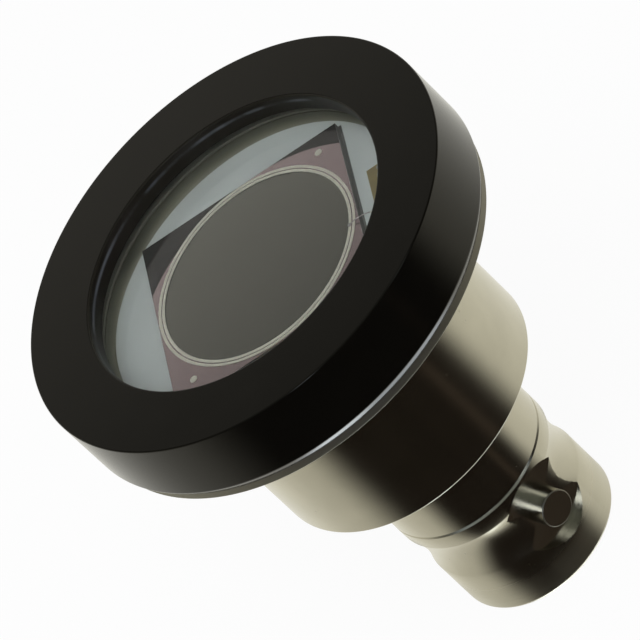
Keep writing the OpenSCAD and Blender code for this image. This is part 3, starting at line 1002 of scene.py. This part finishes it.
def studio_world(level):
    """White all round to the eye and in reflections, and a soft even light."""
    world = bpy.data.worlds.new("studio")
    world.use_nodes = True
    g = Graph(world.node_tree)
    seen = ray_kind(g, "Is Camera Ray", "Is Glossy Ray", "Is Transmission Ray")
    strength = seen * (1.0 - level) + level
    reflected = ray_kind(g, "Is Glossy Ray", "Is Transmission Ray")
    _, (_, _, up) = g.point()
    round_about = g.mix(WARM_WHITE, (0.35, 0.35, 0.35), g.step(up, 0.15, 0.45))
    tint = g.mix(PURE_WHITE, round_about, reflected)
    light = g.node("ShaderNodeBackground", inputs={"Color": tint, "Strength": strength})
    g.node("ShaderNodeOutputWorld", inputs={"Surface": light})
    bpy.context.scene.world = world


class MakeStage(bpy.types.Operator):
    """Set the floor, the reflection cards, the light and the camera"""

    bl_idname = "photodiode.stage"
    bl_label = "Stage"

    def execute(self, context):
        stage = context.scene.photodiode_stage
        reach = (-FLOOR_REACH, FLOOR_REACH)
        floor = flat_card("floor", reach, reach, -FLOOR_DROP)
        floor.data.materials.append(floor_finish(stage.floor))
        floor.visible_glossy = False
        self.cards()
        studio_world(stage.sky)
        self.key_light(stage)
        self.camera(context.scene, stage)
        context.scene.view_settings.view_transform = "Standard"
        return {"FINISHED"}

    def cards(self):
        """Cards that only reflections show: a dark front, a grey ceiling and a strip below."""
        flag = dome_card("flag", FLAG_REACH, FLAG_SIDES, FLAG_HEIGHTS)
        ceiling = flat_card("ceiling", CEILING_X, CEILING_Y, CEILING_Z)
        under = flat_card("under", UNDER_X, UNDER_Y, UNDER_Z)
        for card, name, painting in (
            (flag, "studio_flag", paint_flag),
            (ceiling, "studio_ceiling", paint_ceiling),
            (under, "studio_under", paint_under),
        ):
            card.data.materials.append(card_finish(name, painting))
            only_reflected(card)

    def key_light(self, stage):
        """A large soft light above the part, on the camera's side."""
        lamp = bpy.data.lights.new("key", "AREA")
        lamp.shape = "DISK"
        lamp.size = KEY_SIZE
        lamp.color = KEY_COLOUR
        lamp.energy = stage.key
        holder = bpy.data.objects.new("key", lamp)
        holder.location = KEY_PLACE
        holder.rotation_euler = (-holder.location).to_track_quat("-Z", "Y").to_euler()
        holder.visible_glossy = False
        bpy.context.scene.collection.objects.link(holder)

    def camera(self, scene, stage):
        """The camera: looks along +Y and down, and is rolled so that the axis leans left."""
        back = Vector((0, -math.cos(stage.elevation), math.sin(stage.elevation)))
        turn = (-back).to_track_quat("-Z", "Y").to_matrix() @ Matrix.Rotation(stage.roll, 3, "Z")
        middle = PICTURE / 2
        shift = Vector((stage.centre_x - middle, middle - stage.centre_y, 0)) * MM / stage.scale
        face = Vector((0, 0, BEZEL_HIGH.z))
        data = bpy.data.cameras.new("camera")
        data.sensor_width = SENSOR_WIDTH
        data.lens = stage.scale * stage.distance / MM * data.sensor_width / PICTURE
        data.clip_start = CLIP_START
        data.clip_end = CLIP_END
        holder = bpy.data.objects.new("camera", data)
        place = face - turn @ shift + back * stage.distance
        holder.matrix_world = Matrix.Translation(place) @ turn.to_4x4()
        scene.collection.objects.link(holder)
        scene.camera = holder


class PhotodiodePanel(bpy.types.Panel):
    """Sizes, colours and steps of the photodiode"""

    bl_idname = "VIEW3D_PT_photodiode"
    bl_label = "Photodiode"
    bl_space_type = "VIEW_3D"
    bl_region_type = "UI"
    bl_category = "Photodiode"

    def draw(self, context):
        for step in STEPS:
            self.layout.operator(step.bl_idname)
        for name, group in GROUPS.items():
            box = self.layout.box()
            box.label(text=group.__doc__)
            for prop in group.__annotations__:
                box.prop(getattr(context.scene, name), prop)


GROUPS = {
    "photodiode_bezel": BezelSizes,
    "photodiode_housing": HousingSizes,
    "photodiode_barrel": BarrelSizes,
    "photodiode_wiring": WiringSizes,
    "photodiode_finishes": Finishes,
    "photodiode_stage": StageSettings,
}
STEPS = (
    MakeFinishes, MakeBezel, MakeWindow, MakeDie, MakeWiring, MakeHousing, MakeConnector, MakeStage,
)


def register():
    """Adds the settings, the operators and the panel."""
    for cls in (*GROUPS.values(), *STEPS, PhotodiodePanel):
        bpy.utils.register_class(cls)
    for name, group in GROUPS.items():
        setattr(bpy.types.Scene, name, PointerProperty(type=group))


def unregister():
    """Takes them out again."""
    for name in GROUPS:
        delattr(bpy.types.Scene, name)
    for cls in (*GROUPS.values(), *STEPS, PhotodiodePanel):
        bpy.utils.unregister_class(cls)


def main():
    """Builds the looks step by step."""
    register()
    bpy.ops.photodiode.finishes()
    bpy.ops.photodiode.bezel()
    bpy.ops.photodiode.window()
    bpy.ops.photodiode.die()
    bpy.ops.photodiode.wiring()
    bpy.ops.photodiode.housing()
    bpy.ops.photodiode.connector()
    bpy.ops.photodiode.stage()


if __name__ == "__main__":
    main()
